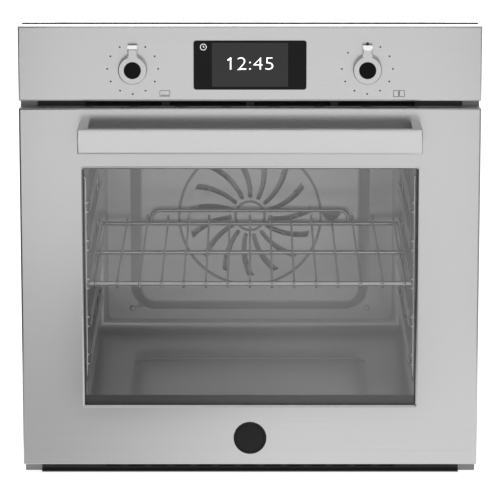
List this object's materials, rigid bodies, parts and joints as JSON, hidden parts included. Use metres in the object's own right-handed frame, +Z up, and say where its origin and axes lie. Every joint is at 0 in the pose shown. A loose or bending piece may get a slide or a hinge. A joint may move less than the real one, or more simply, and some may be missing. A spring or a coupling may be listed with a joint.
{
  "type": "built-in wall oven",
  "caption": "Built-in electric wall oven: drop-down glass door with bar handle, control strip with rotary knobs and a clock display, wire shelf in a fan-heated cavity.",
  "frame": {"origin": "middle of the underside of the base panel, halfway along the chassis between the mounting flange and the back", "axes": "+X to the right seen from the front, +Y into the cabinet, +Z up; the door faces -Y"},
  "size_m": [0.597, 0.62, 0.597],
  "materials": {
    "galvanised": "plain zinc-coated sheet",
    "front_enamel": "light grey coated sheet",
    "dark_trim": "dark powder coat",
    "cavity_enamel": "glossy dark grey-blue enamel",
    "baffle_enamel": "glossy dark grey-blue enamel",
    "brushed_steel": "horizontal brushing",
    "insulation": "mineral wool",
    "zinc_steel": "plain",
    "aluminium": "satin",
    "chrome_wire": "polished",
    "heater_tube": "matt oxide",
    "black_plastic": "fine texture",
    "grey_plastic": "plain",
    "board_green": "circuit board",
    "ceramic_white": "ceramic socket",
    "clear_glass": "clear",
    "tinted_glass": "grey tint",
    "display_glass": "gloss black",
    "seal_rubber": "woven silicone",
    "gloss_black": "gloss"
  },
  "bodies": {
    "oven": {"base_panel": "galvanised", "side_panel_left": "galvanised", "side_panel_right": "galvanised", "rear_panel": "galvanised", "top_cover": "galvanised", "front_frame": "front_enamel", "bottom_grille": "dark_trim", "outlet_grille": "dark_trim", "cavity_shell": "cavity_enamel", "insulation_wrap": "insulation", "insulation_back": "insulation", "partition_plate": "galvanised", "cooling_duct": "galvanised", "blower_housing": "galvanised", "blower_motor": "zinc_steel", "power_board": "board_green", "terminal_box": "grey_plastic", "vent_pipe": "galvanised", "fan_baffle": "baffle_enamel", "baffle_screws": "zinc_steel", "convection_motor": "zinc_steel", "ring_element": "heater_tube", "grill_element": "heater_tube", "base_element": "heater_tube", "lamp_holder": "ceramic_white", "lamp_glass": "clear_glass", "temperature_sensor": "zinc_steel", "rack_left": "chrome_wire", "rack_right": "chrome_wire", "door_seal": "seal_rubber", "hinge_receivers": "zinc_steel", "hinge_arms": "zinc_steel", "control_fascia": "brushed_steel", "fascia_carrier": "black_plastic", "display_glass": "display_glass", "display_module": "grey_plastic", "encoders": "grey_plastic"},
    "door": {"door_skin": "brushed_steel", "door_liner": "front_enamel", "outer_glass": "tinted_glass", "middle_glass": "clear_glass", "inner_glass": "clear_glass", "pane_rails": "black_plastic", "pane_rail_bottom": "black_plastic", "door_top_trim": "black_plastic", "handle_bar": "brushed_steel", "handle_brackets": "brushed_steel", "handle_screws": "zinc_steel", "hinge_channels": "zinc_steel", "hinge_pins": "zinc_steel", "hinge_springs": "zinc_steel"},
    "left_knob": {"knob_left": "brushed_steel", "knob_left_cap": "gloss_black"},
    "right_knob": {"knob_right": "brushed_steel", "knob_right_cap": "gloss_black"},
    "shelf": {"wire_shelf": "chrome_wire"},
    "oven_fan": {"convection_fan": "aluminium"},
    "cooling_rotor": {"blower_rotor": "aluminium"}
  },
  "joints": [
    {"name": "door_hinge", "type": "hinge", "parent": "oven", "child": "door", "pos_m": [0, -0.283, 0.0193], "axis": [1, 0, 0], "range_deg": [0, 90], "stiffness_Nm_per_rad": 9.5, "springref_deg": -20.05},
    {"name": "knob_left_turn", "type": "hinge", "parent": "oven", "child": "left_knob", "pos_m": [-0.151, -0.2945, 0.5418], "axis": [0, -1, 0], "continuous": true},
    {"name": "knob_right_turn", "type": "hinge", "parent": "oven", "child": "right_knob", "pos_m": [0.151, -0.2945, 0.5418], "axis": [0, 1, 0], "range_deg": [0, 310]},
    {"name": "shelf_slide", "type": "slide", "parent": "oven", "child": "shelf", "axis": [0, -1, 0], "range_m": [0, 0.03]},
    {"name": "oven_fan_spin", "type": "hinge", "parent": "oven", "child": "oven_fan", "pos_m": [0, 0.16, 0.254], "axis": [0, 1, 0], "continuous": true},
    {"name": "cooling_rotor_spin", "type": "hinge", "parent": "oven", "child": "cooling_rotor", "pos_m": [0, -0.058, 0.506], "axis": [1, 0, 0], "continuous": true}
  ]
}
